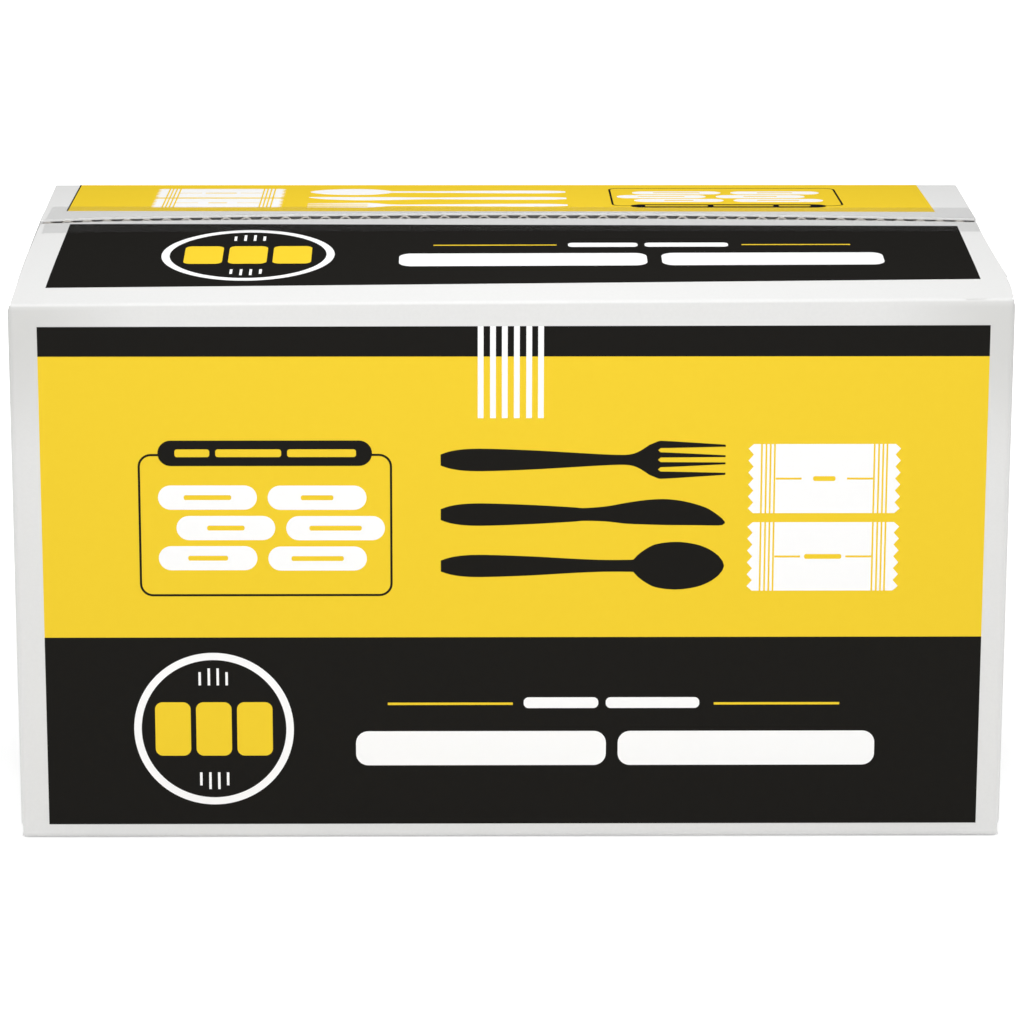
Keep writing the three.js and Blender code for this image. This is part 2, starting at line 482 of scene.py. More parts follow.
def raw_board_edge():
    """Cut corrugated board: uncoated paper, matt and a little grey."""
    material, tree = new_material("raw_board_edge")
    place = add_node(tree, "ShaderNodeTexCoord").outputs["Object"]
    fibre = add_node(tree, "ShaderNodeTexNoise", {"Vector": place, "Scale": 1 / (0.6 * MM), "Detail": 4.0})
    tone = add_node(
        tree, "ShaderNodeMix",
        {"Factor": fibre.outputs["Fac"], "A": linear("#a79f92"), "B": linear("#c9c3b8")},
        data_type="RGBA",
    )
    shader = add_node(
        tree, "ShaderNodeBsdfPrincipled",
        {"Base Color": tone.outputs["Result"], "Roughness": 0.9},
    )
    surface(tree, shader)
    return material


def flute_paper():
    """Recycled fluting: rough, matt, pale grey paper, dim between the liners."""
    material, tree = new_material("recycled_flute_paper")
    place = add_node(tree, "ShaderNodeTexCoord").outputs["Object"]
    fibre = add_node(tree, "ShaderNodeTexNoise", {"Vector": place, "Scale": 1 / (0.8 * MM), "Detail": 4.0})
    tone = add_node(
        tree, "ShaderNodeMix",
        {"Factor": fibre.outputs["Fac"], "A": linear("#c4beb5"), "B": linear("#e2ded8")},
        data_type="RGBA",
    )
    shader = add_node(
        tree, "ShaderNodeBsdfPrincipled",
        {"Base Color": tone.outputs["Result"], "Roughness": 0.95},
    )
    surface(tree, shader)
    return material


def flexo_ink(name, light, dark):
    """Water-based ink printed on the coat: a thin satin film with slight mottle."""
    material, tree = new_material(name)
    place = add_node(tree, "ShaderNodeTexCoord").outputs["Object"]
    mottle = add_node(tree, "ShaderNodeTexNoise", {"Vector": place, "Scale": 1 / (4 * MM), "Detail": 4.0})
    tone = add_node(
        tree, "ShaderNodeMix",
        {"Factor": mottle.outputs["Fac"], "A": linear(dark), "B": linear(light)},
        data_type="RGBA",
    )
    shader = add_node(
        tree, "ShaderNodeBsdfPrincipled",
        {"Base Color": tone.outputs["Result"], "Roughness": 0.6, "Specular IOR Level": 0.0},
    )
    surface(tree, shader)
    return material


def clear_packing_tape(name, trace, alpha):
    """Clear polypropylene film: glossy. It greys the bare coat, and over ink little of it shows."""
    material, tree = new_material(name)
    shader = add_node(
        tree, "ShaderNodeBsdfPrincipled",
        {"Base Color": linear(trace), "Roughness": 0.3, "Specular IOR Level": 0.08, "Alpha": alpha},
    )
    surface(tree, shader)
    return material


BOARD_WHITE = coated_white_liner()
BOARD_EDGE = raw_board_edge()
MEDIUM_PAPER = flute_paper()
YELLOW = flexo_ink("yellow_flexo_ink", "#f6d338", "#f4d035")
BLACK = flexo_ink("black_flexo_ink", "#22211f", "#201f1d")
WHITE = flexo_ink("white_flexo_ink", "#ffffff", "#fdfdfd")
TAPE_ON_COAT = clear_packing_tape("clear_packing_tape", "#303132", 0.062)
TAPE_ON_BLACK = clear_packing_tape("clear_packing_tape_over_black", "#50504c", 0.022)
TAPE_ON_YELLOW = clear_packing_tape("clear_packing_tape_over_yellow", "#f6d338", 0.022)
TAPE_ON_EDGE = clear_packing_tape("clear_packing_tape_over_edge", "#e4e4e2", 0.022)
TAPES = [TAPE_ON_COAT, TAPE_ON_BLACK, TAPE_ON_YELLOW, TAPE_ON_EDGE]


# Carton board

def on_blank(place):
    """Whether a place on the flat sheet is left once the slots and the joint's tab are cut."""
    name = panel_at(place.x)
    panel = PANELS[name]
    if name == "tab":
        return JOINT_TAB_MARGIN < place.y < WALL - JOINT_TAB_MARGIN
    foot = 0 if panel.long else BOARD + SHORT_FLAP_PLAY
    if foot < place.y < WALL:
        return True
    inset = LONG_FLAP_INSET if panel.long else SHORT_FLAP_INSET
    u = place.x - panel.middle
    edge = HALF_LENGTH if panel.long else HALF_DEPTH
    return abs(u) < edge - inset


def flat_sheet(left, right, low, high):
    """A rectangle on the blank."""
    bpy.ops.mesh.primitive_plane_add(size=1, location=((left + right) / 2, (low + high) / 2, 0))
    piece = bpy.context.object
    piece.scale = (right - left, high - low, 1)
    return place_applied(piece)


def opened_edge(piece, test, push):
    """Opens a cut edge between its two liners."""
    only(piece)
    bpy.ops.object.mode_set(mode="EDIT")
    choose_faces(piece, test)
    bpy.ops.mesh.inset(thickness=LINER, use_boundary=True, use_even_offset=True)
    bpy.ops.transform.translate(value=push)
    bpy.ops.object.mode_set(mode="OBJECT")


def carton_board():
    """The blank, cut, thickened, opened along its raw edges and folded up."""
    seam = HALF_DEPTH - HALF_SEAM
    left = TAB_START - JOINT_TAB
    right = REAR_MIDDLE + HALF_LENGTH - JOINT_INSET
    board = flat_sheet(left, right, -seam, WALL + seam)
    cut_lines(board, 0, S_LINES)
    cut_lines(board, 1, T_LINES)
    only(board)
    bpy.ops.object.mode_set(mode="EDIT")
    choose_faces(board, lambda place: not on_blank(place))
    bpy.ops.mesh.delete(type="FACE")
    bpy.ops.object.mode_set(mode="OBJECT")
    for vertex in board.data.vertices:
        name = panel_at(vertex.co.x)
        panel = PANELS[name]
        v = max(vertex.co.y - WALL, -vertex.co.y, 0)
        if panel.long and v > 0:
            u = vertex.co.x - panel.middle
            near = HALF_LENGTH - 2 * FOLD
            if abs(u) > near:
                out = -LONG_FLAP_TAPER * v / HALF_DEPTH
                if name == "front" and u > 0 and vertex.co.y > WALL:
                    out += END_BULGE * v / END_BULGE_AT * math.exp(1 - v / END_BULGE_AT)
                reach = HALF_LENGTH - LONG_FLAP_INSET - near
                vertex.co.x = panel.middle + math.copysign(near + (abs(u) - near) * (1 + out / reach), u)
    board.data.materials.append(BOARD_WHITE)
    board.data.materials.append(BOARD_EDGE)
    modified(board, "SOLIDIFY", thickness=BOARD, offset=-1, material_offset_rim=1)
    for middle in (0, REAR_MIDDLE):
        for side in (-1, 1):
            for low, high in ((WALL, WALL + seam), (-seam, 0)):
                def at_flap_end(p, at=middle + side * HALF_LENGTH, low=low, high=high):
                    in_the_rim = low + 0.1 < p.y < high - 0.05 and abs(p.z + BOARD / 2) < 0.01
                    return in_the_rim and abs(p.x - at) < END_REACH
                opened_edge(board, at_flap_end, (-side * EDGE_DEPTH, 0, 0))
    for end, push in ((WALL + seam, -FLUTE_DEPTH), (-seam, FLUTE_DEPTH)):
        opened_edge(board, lambda p, end=end: abs(p.y - end) < 0.01, (0, push, 0))
    folded_up(board)
    only(board)
    bpy.ops.object.shade_smooth_by_angle(angle=math.radians(40))
    modified(board, "WEIGHTED_NORMAL", keep_sharp=True)
    return finished(board, "carton_board", [BOARD_WHITE, BOARD_EDGE], "coated_board", "carton")


def flap_flutes(name, middle, edge, inner):
    """The wavy paper between a long flap's liners, where its edge was cut across the flutes."""
    half = HALF_LENGTH - LONG_FLAP_INSET - LONG_FLAP_TAPER - 1
    steps = round(2 * half / FLUTE * 12)
    bpy.ops.mesh.primitive_grid_add(x_subdivisions=steps, y_subdivisions=3, size=2)
    sheet = place_applied(bpy.context.object)
    wave = (BOARD - 2 * LINER - MEDIUM) / 2
    for vertex in sheet.data.vertices:
        u = vertex.co.x * half
        height = wave * math.sin(2 * math.pi * u / FLUTE) - BOARD / 2
        share = (vertex.co.y + 1) / 2
        vertex.co = (middle + u, edge + (inner - edge) * share, height)
    modified(sheet, "SOLIDIFY", thickness=MEDIUM, offset=0)
    folded_up(sheet)
    only(sheet)
    bpy.ops.object.mode_set(mode="EDIT")
    bpy.ops.mesh.select_all(action="SELECT")
    bpy.ops.mesh.normals_make_consistent(inside=False)
    bpy.ops.object.mode_set(mode="OBJECT")
    bpy.ops.object.shade_smooth_by_angle(angle=math.radians(40))
    return finished(sheet, name, [MEDIUM_PAPER], "board_edge")


# Print

def bar(left, right, low, high, radius=0):
    """A rectangle of print, with rounded corners where a radius is given."""
    piece = flat_sheet(left, right, low, high)
    if radius:
        only(piece)
        bpy.ops.object.mode_set(mode="EDIT")
        bpy.ops.mesh.select_all(action="SELECT")
        bpy.ops.mesh.bevel(affect="VERTICES", offset=radius, segments=8, clamp_overlap=True)
        bpy.ops.mesh.remove_doubles(threshold=0.005)
        bpy.ops.object.mode_set(mode="OBJECT")
    return piece


def word_bar(x, y, length):
    """The plain bar that stands for a word."""
    return bar(x - length / 2, x + length / 2, y - 1, y + 1, 0.8)


def outline_of(piece, width):
    """Leaves only a line of that width along a flat shape's edge."""
    only(piece)
    bpy.ops.object.mode_set(mode="EDIT")
    bpy.ops.mesh.select_all(action="SELECT")
    bpy.ops.mesh.inset(thickness=width, use_boundary=True, use_even_offset=True)
    bpy.ops.mesh.delete(type="FACE")
    bpy.ops.object.mode_set(mode="OBJECT")
    return piece


def disc(x, y, radius):
    """A round field of print."""
    bpy.ops.mesh.primitive_circle_add(vertices=96, radius=radius, fill_type="NGON", location=(x, y, 0))
    return place_applied(bpy.context.object)


def moved(piece, right, up, wide=1):
    """Stretches a flat shape along the blank about its middle, and then moves it."""
    for vertex in piece.data.vertices:
        vertex.co.x = vertex.co.x * wide + right
        vertex.co.y += up
    return piece


def printed(name, shapes, ink, slot, layer, middle=0, follows_board=False):
    """Lays flat shapes on the blank as one layer of print, and folds it up with the board."""
    piece = moved(joined(shapes), middle, 0)
    if follows_board:
        cut_lines(piece, 0, S_LINES)
        cut_lines(piece, 1, T_LINES)
    for vertex in piece.data.vertices:
        vertex.co.z = layer * INK
    modified(piece, "SOLIDIFY", thickness=INK_ROOT, offset=-1)
    folded_up(piece)
    return finished(piece, name, [ink], slot)


def shaped(stations):
    """A flat shape along x. Each station is an x and the heights of its rows there, from the lowest."""
    rows = len(stations[0]) - 1
    columns = len(stations) - 1
    bpy.ops.mesh.primitive_grid_add(x_subdivisions=columns, y_subdivisions=rows - 1, size=2)
    piece = place_applied(bpy.context.object)
    for vertex in piece.data.vertices:
        column = round((vertex.co.x + 1) / 2 * columns)
        row = round((vertex.co.y + 1) / 2 * (rows - 1))
        vertex.co.x = stations[column][0]
        vertex.co.y = stations[column][1 + row]
    return piece


def smooth_stations(points, step=1.5):
    """Fills in stations between chosen ones on a smooth curve through them."""
    filled = []
    for i in range(len(points) - 1):
        start, end = points[i], points[i + 1]
        before = points[i - 1] if i else start
        after = points[i + 2] if i + 2 < len(points) else end
        run = end[0] - start[0]
        steps = max(round(run / step), 1)
        for k in range(steps):
            q = k / steps
            station = [start[0] + run * q]
            for a, b, c, d in zip(before[1:], start[1:], end[1:], after[1:]):
                slope_in = (c - a) / max(end[0] - before[0], 1e-6) * run
                slope_out = (d - b) / max(after[0] - start[0], 1e-6) * run
                station.append(
                    (2 * q ** 3 - 3 * q ** 2 + 1) * b + (q ** 3 - 2 * q ** 2 + q) * slope_in
                    + (3 * q ** 2 - 2 * q ** 3) * c + (q ** 3 - q ** 2) * slope_out
                )
            filled.append(station)
    filled.append(list(points[-1]))
    return filled


# Half heights of the handle that the three pieces of cutlery share, at distances from its end
HANDLE = [(0, 2.3), (3.5, 3.5), (9, 4.4), (17, 4.65), (36, 4.0), (54, 2.95)]


def even(x, half, rows=2):
    """A station whose rows are spread evenly from one edge to the other."""
    return [x] + [half * (2 * i / (rows - 1) - 1) for i in range(rows)]


def fork(x, y):
    """Four tines, each between two of the eight rows, which close up at the roots of the three gaps."""
    root = (-7.9, -4.85, -3.1, -0.96, 0.96, 3.1, 4.85, 7.9)
    tip = (-6.3, -5.4, -1.9, -1.1, 1.1, 1.9, 5.4, 6.3)
    closed = (-7.7, -4.0, -4.0, 0, 0, 4.0, 4.0, 7.7)
    closed_at, root_at, tip_at = 87.0, 88.0, 113.4
    neck = [(65, 2.3), (73.5, 2.05), (77, 2.5), (80, 3.8), (83.5, 6.2)]
    stations = smooth_stations([even(a, b, 8) for a, b in HANDLE + neck])
    stations += [[closed_at, *closed], [closed_at + 0.3, *[(2 * c + r) / 3 for c, r in zip(closed, root)]]]
    stations += [[root_at, *root], [root_at + 4, *[r + (t - r) * 0.12 for r, t in zip(root, tip)]]]
    stations += [[tip_at, *tip], [tip_at + 0.6, *[t * 0.985 for t in tip]]]
    piece = shaped(stations)
    only(piece)
    bpy.ops.object.mode_set(mode="EDIT")
    gaps = ((1, 2), (3, 4), (5, 6))

    def in_gap(place):
        if place.x < closed_at:
            return False
        share = min(max((place.x - root_at) / (tip_at - root_at), 0), 1)
        rows = [r + (t - r) * share for r, t in zip(root, tip)]
        return any(rows[a] < place.y < rows[b] for a, b in gaps)
    choose_faces(piece, in_gap)
    bpy.ops.mesh.delete(type="FACE")
    bpy.ops.mesh.select_all(action="SELECT")
    bpy.ops.mesh.remove_doubles(threshold=0.001)
    bpy.ops.object.mode_set(mode="OBJECT")
    return [moved(piece, x, y)]


def knife(x, y):
    """A blade whose back runs straight and whose cutting edge bellies out, each given at distances."""
    blade = [
        (66.6, 2.95, 3.4), (74.5, 3.85, 4.85), (82.5, 4.2, 6.0), (90.4, 4.45, 6.35), (98.3, 4.5, 5.3),
        (106.3, 4.6, 2.85), (110.2, 4.65, 0.5), (113, 4.5, -1.8), (114.1, 3.7, -3.1),
    ]
    stations = [even(a, b) for a, b in HANDLE + [(57, 2.65)]] + [[a, -b, c] for a, b, c in blade]
    return [moved(shaped(smooth_stations(stations)), x, y)]


def spoon(x, y):
    """An oval bowl on the shared handle."""
    neck = [(65, 2.5), (76.6, 2.5)]
    bowl = [
        (77.5, 2.6), (79.3, 4.6), (82.5, 7.05), (86.4, 9.0), (94.4, 10.0), (102.3, 9.05), (107.8, 7.0),
        (111.8, 4.1), (113.4, 2.0), (114, 0.3),
    ]
    stations = smooth_stations([even(a, b) for a, b in HANDLE + neck + bowl])
    return [moved(shaped(stations), x, y)]


SACHET_AT = 125.3  # middle of both, along the wall
UPPER_SACHET = 152.15
LOWER_SACHET = 119.65
SACHET_HEIGHT = 28.7
SACHET_HALF = 30.5


def sachet(y):
    """A small packet with torn, toothed ends, about a middle."""
    teeth, bite, corner = 6, 2.1, 1.9
    pitch = (SACHET_HEIGHT - 2 * corner) / (teeth - 1)
    rows = [corner + pitch / 2 * i for i in range(2 * teeth - 1)]
    piece = flat_sheet(-SACHET_HALF, SACHET_HALF, 0, SACHET_HEIGHT)
    cut_lines(piece, 1, rows)
    for vertex in piece.data.vertices:
        tooth = (vertex.co.y - corner) / pitch
        at_peak = abs(tooth - round(tooth)) < 0.1 and 0 <= round(tooth) < teeth
        if not at_peak:
            vertex.co.x -= math.copysign(bite, vertex.co.x)
    return moved(piece, 0, y - SACHET_HEIGHT / 2)


def sachet_lines(y, word):
    """The crimps at both ends, and two dashes with a plain bar between them."""
    shapes = []
    for x in (-25.2, -23.4, -21.7, -20.0, 19.9, 21.7, 23.4, 25.0):
        shapes.append(bar(x - 0.35, x + 0.35, y - SACHET_HEIGHT / 2, y + SACHET_HEIGHT / 2))
    for x in (-14.3, 14.3):
        shapes.append(bar(x - 5.2, x + 5.2, y - 0.4, y + 0.4))
    shapes.append(word_bar(0, y, word))
    return shapes


# Middle of each white pill in the list, and the length of the plain bar in it
PILLS = [
    (-121.8, 144.5, 19), (-77.9, 144.4, 13),
    (-114.6, 131.8, 15), (-70.6, 131.7, 21),
    (-121.9, 119.2, 16), (-77.9, 119.0, 21),
]
PILL_HALF_LENGTH = 19.8
PILL_HALF_HEIGHT = 5.05
PILL_ROUND = 5.04
TITLE_BARS = [(-134.7, -120.8), (-118.4, -92.1), (-89.7, -62.2)]
CUTLERY_AT = -28.4  # ends of the three handles


def packet_art(name, middle, right, up, wide, cutlery_ink, cutlery_slot, sachet_wide=1):
    """The list of contents, three pieces of cutlery and two sachets, drawn as plain figures."""
    follows = up > 0

    def lay(part, shapes, ink, slot, layer, at=0, stretch=1):
        placed = [moved(shape, right + at * wide, up, wide * stretch) for shape in shapes]
        printed(name + "_" + part, placed, ink, slot, layer, middle, follows)

    long, high = PILL_HALF_LENGTH, PILL_HALF_HEIGHT
    pills = [bar(x - long, x + long, y - high, y + high, PILL_ROUND) for x, y, _ in PILLS]
    lay("pills", pills, WHITE, "white_ink", 2)
    lay("pill_bars", [word_bar(*pill) for pill in PILLS], YELLOW, "yellow_ink", 3)
    lay("frame_line", [outline_of(bar(-149.5, -47.8, 103.2, 162.6, 5.3), 0.9)], BLACK, "black_ink", 2)
    lay("title_pill", [bar(-141.5, -55.8, 157.6, 168.1, 5.24)], BLACK, "black_ink", 3)
    lay("title_bars", [bar(a, b, 161.3, 164.5, 1) for a, b in TITLE_BARS], YELLOW, "yellow_ink", 4)
    cutlery = fork(CUTLERY_AT, 160) + knife(CUTLERY_AT, 137.3) + spoon(CUTLERY_AT, 115.8)
    lay("cutlery", cutlery, cutlery_ink, cutlery_slot, 2)
    sachets = [sachet(UPPER_SACHET), sachet(LOWER_SACHET)]
    lay("sachets", sachets, WHITE, "white_ink", 2, SACHET_AT, sachet_wide)
    lines = sachet_lines(UPPER_SACHET, 9) + sachet_lines(LOWER_SACHET, 15)
    lay("sachet_lines", lines, YELLOW, "yellow_ink", 3, SACHET_AT, sachet_wide)


def badge(name, middle, x, y, size, follows):
    """A ring with short strokes at its top and bottom and three plain blocks across it."""
    ring = outline_of(disc(x, y, 32.4 * size), 3.05 * size)
    strokes = []
    for offset, low, high in ((-5.5, 18.6, 24.2), (-1.8, 18.6, 25.8), (1.8, 18.6, 25.8), (5.4, 18.6, 24.2)):
        left = x + (offset - 0.5) * size
        right = x + (offset + 0.5) * size
        strokes.append(bar(left, right, y + low * size, y + high * size))
        strokes.append(bar(left, right, y - high * size, y - low * size))
    printed(name + "_ring", [ring] + strokes, WHITE, "white_ink", 2, middle, follows)
    blocks = []
    for place in (-16.6, 0, 16.6):
        left = x + (place - 7.2) * size
        right = x + (place + 7.2) * size
        blocks.append(bar(left, right, y - 11.4 * size, y + 11.4 * size, 3))
    printed(name + "_ring_blocks", blocks, YELLOW, "yellow_ink", 2, middle, follows)


def heading(name, middle, x, y, follows):
    """Two thin lines with short bars between them, over two long bars."""
    lines = [bar(x - 50, x + 0.7, y + 57, y + 58), bar(x + 82.3, x + 133.3, y + 57, y + 58)]
    printed(name + "_heading_lines", lines, YELLOW, "yellow_ink", 2, middle, follows)
    bars = [bar(x + 5.1, x + 35.4, y + 55.6, y + 60.2, 2), bar(x + 38.4, x + 76.4, y + 55.6, y + 60.2, 2)]
    bars += [bar(x - 63, x + 38.6, y + 31.2, y + 45.8, 5), bar(x + 43.4, x + 147.9, y + 31.2, y + 45.8, 5)]
    printed(name + "_heading_bars", bars, WHITE, "white_ink", 2, middle, follows)


def front_print():
    """Yellow between two black bands, with stripes at its top, the packet art, a ring and a heading."""
    left, right = -188.4, 190.2
    printed("front_yellow_field", [bar(left, right, BAND_HIGH, FIELD_HIGH)], YELLOW, "yellow_ink", 1)
    bands = [bar(left, right, FIELD_HIGH, PRINT_HIGH), bar(left, right, BAND_LOW, BAND_HIGH)]
    printed("front_black_bands", bands, BLACK, "black_ink", 1, 0, True)
    stripes = [bar(x - 1.15, x + 1.15, 177.3, PRINT_HIGH) for x in (-12.4, -7.5, -2.8, 2.0, 6.9, 11.6)]
    printed("front_stripes", stripes, WHITE, "white_ink", 2, 0, True)
    packet_art("front", 0, 0, 0, 1, BLACK, "black_ink")
    badge("front", 0, -120.6, 46.9, 1, False)
    heading("front", 0, 0, 0, False)


def edged(left, right, low, high):
    """A field with straight ends, each given low and high, between two edges given as functions of x."""
    bpy.ops.mesh.primitive_grid_add(x_subdivisions=24, y_subdivisions=1, size=2)
    piece = place_applied(bpy.context.object)
    for vertex in piece.data.vertices:
        up = (vertex.co.y + 1) / 2
        start = left[0] + (left[1] - left[0]) * up
        end = right[0] + (right[1] - right[0]) * up
        x = start + (end - start) * (vertex.co.x + 1) / 2
        vertex.co = (x, low(x) + (high(x) - low(x)) * up, 0)
    return piece


def bowed(height, slant, bow):
    """An edge that runs a little askew and bows out at its middle, as the flap did on the press."""
    return lambda x: height + slant * x / HALF_LENGTH + bow * (1 - (x / HALF_LENGTH) ** 2)


FLAP_BLACK_TOP = bowed(WALL + 106.2, -2, -3.1)
REAR_YELLOW_TOP = bowed(WALL + 88.9, -2.3, 3.4)


def flap_print():
    """The front top flap: a black field with a ring and a heading."""
    field = edged((-186.2, -183.1), (188.4, 187), bowed(WALL + 21.7, 2.8, -0.2), FLAP_BLACK_TOP)
    printed("flap_black_field", [field], BLACK, "black_ink", 1, 0, True)
    badge("flap", 0, -107, WALL + 62, 1.09, True)
    thin, small, large = WALL + 75.2, WALL + 75.3, WALL + 54.1
    lines = [bar(a, b, thin - 0.6, thin + 0.6) for a, b in ((-31.4, 19.2), (95.3, 140))]
    printed("flap_heading_lines", lines, YELLOW, "yellow_ink", 2, 0, True)
    bars = [bar(a, b, small - 3, small + 3, 2) for a, b in ((23.9, 52.5), (55.4, 89.7))]
    bars += [bar(a, b, large - 9, large + 9, 5) for a, b in ((-45.3, 55.6), (61.6, 152))]
    printed("flap_heading_bars", bars, WHITE, "white_ink", 2, 0, True)


def rear_print():
    """Yellow that runs on over the fold to the rear top flap, over a black band, with art on both."""
    low = bowed(BAND_HIGH, 0, 0)
    field = edged((-182, -180.6), (188.6, 186.6), low, REAR_YELLOW_TOP)
    printed("rear_yellow_field", [field], YELLOW, "yellow_ink", 1, REAR_MIDDLE, True)
    printed("rear_black_band", [bar(-182, 188.6, BAND_LOW, BAND_HIGH)], BLACK, "black_ink", 1, REAR_MIDDLE)
    edge = edged((188.3, 186.3), (188.9, 186.9), low, REAR_YELLOW_TOP)
    printed("rear_misprinted_edge", [edge], BLACK, "black_ink", 2, REAR_MIDDLE, True)
    packet_art("rear_flap", REAR_MIDDLE, 2.1, 134.7, 0.975, WHITE, "white_ink", 0.94)
    packet_art("rear", REAR_MIDDLE, 3, 0, 1, BLACK, "black_ink")
    badge("rear", REAR_MIDDLE, -116, 46.9, 1, False)
    heading("rear", REAR_MIDDLE, 3, 0, False)


# Tape

def taped_over(a, b, h):
    """Where a place on the top tape is, a along the seam and b across it."""
    flap_end = HALF_LENGTH - LONG_FLAP_INSET - LONG_FLAP_TAPER
    over = abs(a) - flap_end
    side = math.copysign(1, a)
    x = math.copysign(min(abs(a), flap_end), a)
    top = lid_height(x, b)
    if BRIDGE[0] < b < BRIDGE[1]:
        low, high = (lid_height(x, foot) for foot in BRIDGE)
        top = low + (high - low) * (b - BRIDGE[0]) / (BRIDGE[1] - BRIDGE[0])
    if over <= 0:
        return a, b, top + h
    if over >= TAPE_DROP:
        return side * (HALF_LENGTH + h), b, WALL - FOLD - (over - TAPE_DROP)
    share = over / TAPE_DROP
    low = WALL - FOLD
    fall = math.atan2(top - low, HALF_LENGTH - flap_end)
    x = flap_end + (HALF_LENGTH - flap_end) * share + h * math.sin(fall)
    return side * x, b, top + (low - top) * share + h * math.cos(fall)


def top_tape():
    """One film along the seam and down both end walls, cut where the print under it begins."""
    reach = HALF_LENGTH - LONG_FLAP_INSET - LONG_FLAP_TAPER + TAPE_DROP + TAPE_TAIL
    film = flat_sheet(-reach, reach, -TAPE_FRONT, TAPE_REAR)
    left, right = -184.9, 183.9  # ends of the printed fields
    askew, less_askew = 1.9, 1.2  # by which those ends differ between the front and the rear flap
    cut_lines(film, 0, spread(-reach, left, 4) + spread(left, right, 4) + spread(right, reach, 4))
    front_ink, rear_ink = -7.5, 22.5
    cut_lines(film, 1, [-14, -11, front_ink, *BRIDGE, ROLLED_TO, 5, 9, 14, rear_ink, 28])
    for material in TAPES:
        film.data.materials.append(material)
    for face in film.data.polygons:
        x, y, _ = face.center
        if left < x < right and y < front_ink:
            face.material_index = TAPES.index(TAPE_ON_BLACK)
        elif left < x < right and y > rear_ink:
            face.material_index = TAPES.index(TAPE_ON_YELLOW)
        elif BRIDGE[0] < y < ROLLED_TO:
            face.material_index = TAPES.index(TAPE_ON_EDGE)
    for vertex in film.data.vertices:
        x, y, _ = vertex.co
        along_ink = min(max(x, left), right)
        if abs(y - front_ink) < 0.01:
            vertex.co.y = FLAP_BLACK_TOP(along_ink) - WALL - HALF_DEPTH
        elif abs(y - rear_ink) < 0.01:
            vertex.co.y = HALF_DEPTH + WALL - REAR_YELLOW_TOP(-along_ink)
        elif y > rear_ink:
            vertex.co.y -= TAPE_SLANT * x / HALF_LENGTH * (y - rear_ink) / (TAPE_REAR - rear_ink)
        if abs(y) > 1 and min(abs(x - left), abs(x - right)) < 0.01:
            if (x < 0) == (y < 0):
                vertex.co.x += askew
            elif x > 0:
                vertex.co.x += less_askew
        vertex.co.z = TAPE_STAND_OFF + TAPE_THICKNESS
    modified(film, "SOLIDIFY", thickness=TAPE_THICKNESS, offset=-1)
    for vertex in film.data.vertices:
        a, b, h = vertex.co
        vertex.co = Vector(taped_over(a, b, h)) * MM
    only(film)
    bpy.ops.object.shade_smooth_by_angle(angle=math.radians(30))
    finished(film, "top_tape_film", TAPES, "clear_tape", "top_tape")


def bottom_tape():
    """One film along the bottom seam and up both end walls."""
    reach = HALF_LENGTH + BOTTOM_TAPE_TAIL
    film = flat_sheet(-reach, reach, -BOTTOM_TAPE_HALF, BOTTOM_TAPE_HALF)
    cut_lines(film, 0, [-HALF_LENGTH - 1, -HALF_LENGTH + 1, HALF_LENGTH - 1, HALF_LENGTH + 1])
    modified(film, "SOLIDIFY", thickness=TAPE_THICKNESS, offset=-1)
    for vertex in film.data.vertices:
        a, b, h = vertex.co
        over = abs(a) - HALF_LENGTH
        up = max(over, 0)
        x = math.copysign(min(abs(a), HALF_LENGTH) + TAPE_STAND_OFF - h, a) if over > 0 else a
        z = up if over > 0 else BOTTOM_TAPE_LIFT - h
        vertex.co = Vector((x, b, z)) * MM
    only(film)
    bpy.ops.object.mode_set(mode="EDIT")
    bpy.ops.mesh.select_all(action="SELECT")
    bpy.ops.mesh.normals_make_consistent(inside=False)
    bpy.ops.object.mode_set(mode="OBJECT")
    finished(film, "bottom_tape_film", [TAPE_ON_COAT], "clear_tape", "bottom_tape")


carton_board()
SEAM_EDGE = HALF_DEPTH - HALF_SEAM - MEDIUM_RECESS
SEAM_INNER = HALF_DEPTH - HALF_SEAM - FLUTE_DEPTH + MEDIUM_RECESS
for place, middle in (("front", 0), ("rear", REAR_MIDDLE)):
    flap_flutes(place + "_top_flutes", middle, WALL + SEAM_EDGE, WALL + SEAM_INNER)
    flap_flutes(place + "_bottom_flutes", middle, -SEAM_EDGE, -SEAM_INNER)
front_print()
flap_print()
rear_print()
top_tape()
bottom_tape()


# Camera, floor and light
IMAGE_WIDTH = 1024  # pixels
FOCAL_LENGTH = 4730  # pixels
SENSOR_WIDTH = 36  # millimetres


def make_camera():
    """The photo's view: a long lens from in front, a little above the lid."""
    pitch, yaw, roll = math.radians(15.86), math.radians(0.70), math.radians(0.13)
    ahead = Vector((math.sin(yaw) * math.cos(pitch), math.cos(yaw) * math.cos(pitch), -math.sin(pitch)))
    level = Vector((math.cos(yaw), -math.sin(yaw), 0))
    upright = level.cross(ahead)
    right = math.cos(roll) * level + math.sin(roll) * upright
    up = math.cos(roll) * upright - math.sin(roll) * level
    data = bpy.data.cameras.new("camera")
    data.sensor_width = SENSOR_WIDTH
    data.lens = SENSOR_WIDTH * FOCAL_LENGTH / IMAGE_WIDTH
    data.clip_end = 50
    camera = bpy.data.objects.new("camera", data)
    bpy.context.scene.collection.objects.link(camera)
    turn = Matrix((right, up, -ahead)).transposed().to_4x4()
    camera.matrix_world = Matrix.Translation((-0.0221, -1.9371, 0.6569)) @ turn
    bpy.context.scene.camera = camera


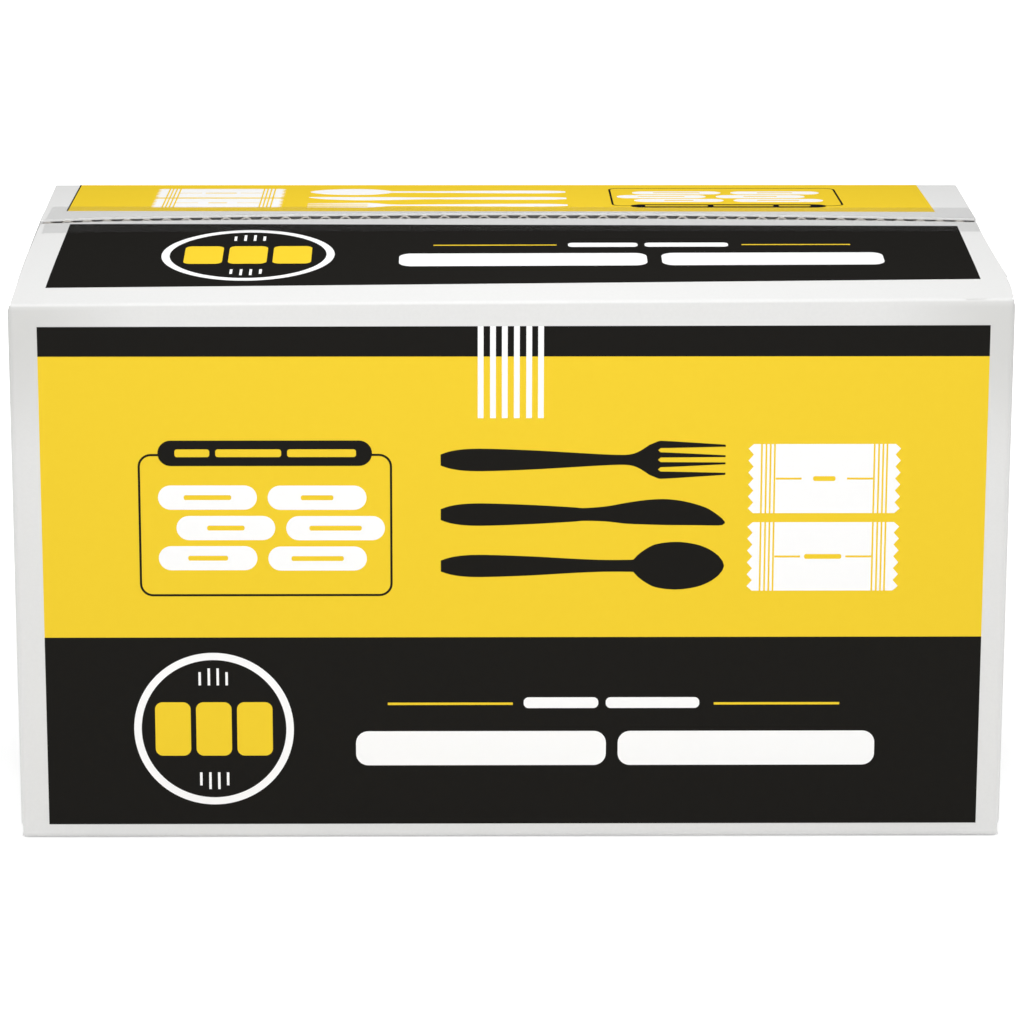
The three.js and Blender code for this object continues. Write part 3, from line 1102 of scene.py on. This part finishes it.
def make_floor():
    """A plain pale floor, white to the camera, that keeps the shadow."""
    bpy.ops.mesh.primitive_plane_add(size=30, location=(0, 0, -0.0002))
    floor = bpy.context.object
    floor.name = "floor"
    material, tree = new_material("pale_floor")
    seen = add_node(tree, "ShaderNodeLightPath")
    plain = add_node(tree, "ShaderNodeBsdfDiffuse", {"Color": linear("#f4f4f4")})
    place = add_node(tree, "ShaderNodeTexCoord").outputs["Object"]
    away = add_node(tree, "ShaderNodeVectorMath", operation="LENGTH")
    tree.links.new(place, away.inputs[0])
    strength = add_node(
        tree, "ShaderNodeMapRange",
        {"Value": away.outputs["Value"], "From Min": 0.2, "From Max": 0.7, "To Min": 0.4, "To Max": 1.0},
    )
    glow = add_node(
        tree, "ShaderNodeEmission",
        {"Color": linear("#ffffff"), "Strength": strength.outputs[0]},
    )
    both = add_node(tree, "ShaderNodeAddShader")
    tree.links.new(plain.outputs[0], both.inputs[0])
    tree.links.new(glow.outputs[0], both.inputs[1])
    mix = add_node(tree, "ShaderNodeMixShader", {"Fac": seen.outputs["Is Camera Ray"]})
    tree.links.new(plain.outputs[0], mix.inputs[1])
    tree.links.new(both.outputs[0], mix.inputs[2])
    surface(tree, mix)
    floor.data.materials.append(material)


def make_world():
    """Soft light from all round, and white to the camera and in reflections."""
    world = bpy.data.worlds.new("studio")
    bpy.context.scene.world = world
    world.use_nodes = True
    tree = world.node_tree
    tree.nodes.clear()
    seen = add_node(tree, "ShaderNodeLightPath")
    either = add_node(tree, "ShaderNodeMath", operation="MAXIMUM")
    tree.links.new(seen.outputs["Is Camera Ray"], either.inputs[0])
    tree.links.new(seen.outputs["Is Glossy Ray"], either.inputs[1])
    through = add_node(tree, "ShaderNodeMath", operation="MAXIMUM")
    tree.links.new(either.outputs[0], through.inputs[0])
    tree.links.new(seen.outputs["Is Transmission Ray"], through.inputs[1])
    strength = add_node(
        tree, "ShaderNodeMapRange",
        {"Value": through.outputs[0], "To Min": 0.38, "To Max": 1.0},
    )
    glow = add_node(
        tree, "ShaderNodeBackground",
        {"Color": linear("#ffffff"), "Strength": strength.outputs[0]},
    )
    add_node(tree, "ShaderNodeOutputWorld", {"Surface": glow.outputs[0]})


def softbox(name, place, aim, size, power, mirrored=True):
    """A square lamp, in metres and watts, that shows in reflections or doesn't."""
    data = bpy.data.lights.new(name, "AREA")
    data.size = size
    data.energy = power
    lamp = bpy.data.objects.new(name, data)
    lamp.visible_glossy = mirrored
    bpy.context.scene.collection.objects.link(lamp)
    lamp.location = place
    lamp.rotation_mode = "QUATERNION"
    lamp.rotation_quaternion = (Vector(aim) - Vector(place)).to_track_quat("-Z", "Y")


make_camera()
make_floor()
make_world()
softbox("near_box", (0, -0.25, 0.78), (0, -0.1, 0.2), 0.45, 2.45)
softbox("front_box", (0, -2.2, 0.8), (0, 0, 0.1), 1.5, 18.2)
FILL_BOXES = {"left_box": (-2.2, 0.3, 0.5), "right_box": (2.2, 0.3, 0.5), "rear_box": (0, 2.4, 0.5)}
for name, place in FILL_BOXES.items():
    softbox(name, place, (0, 0, 0.1), 0.9, 12, mirrored=False)
bpy.context.scene.view_settings.view_transform = "Standard"
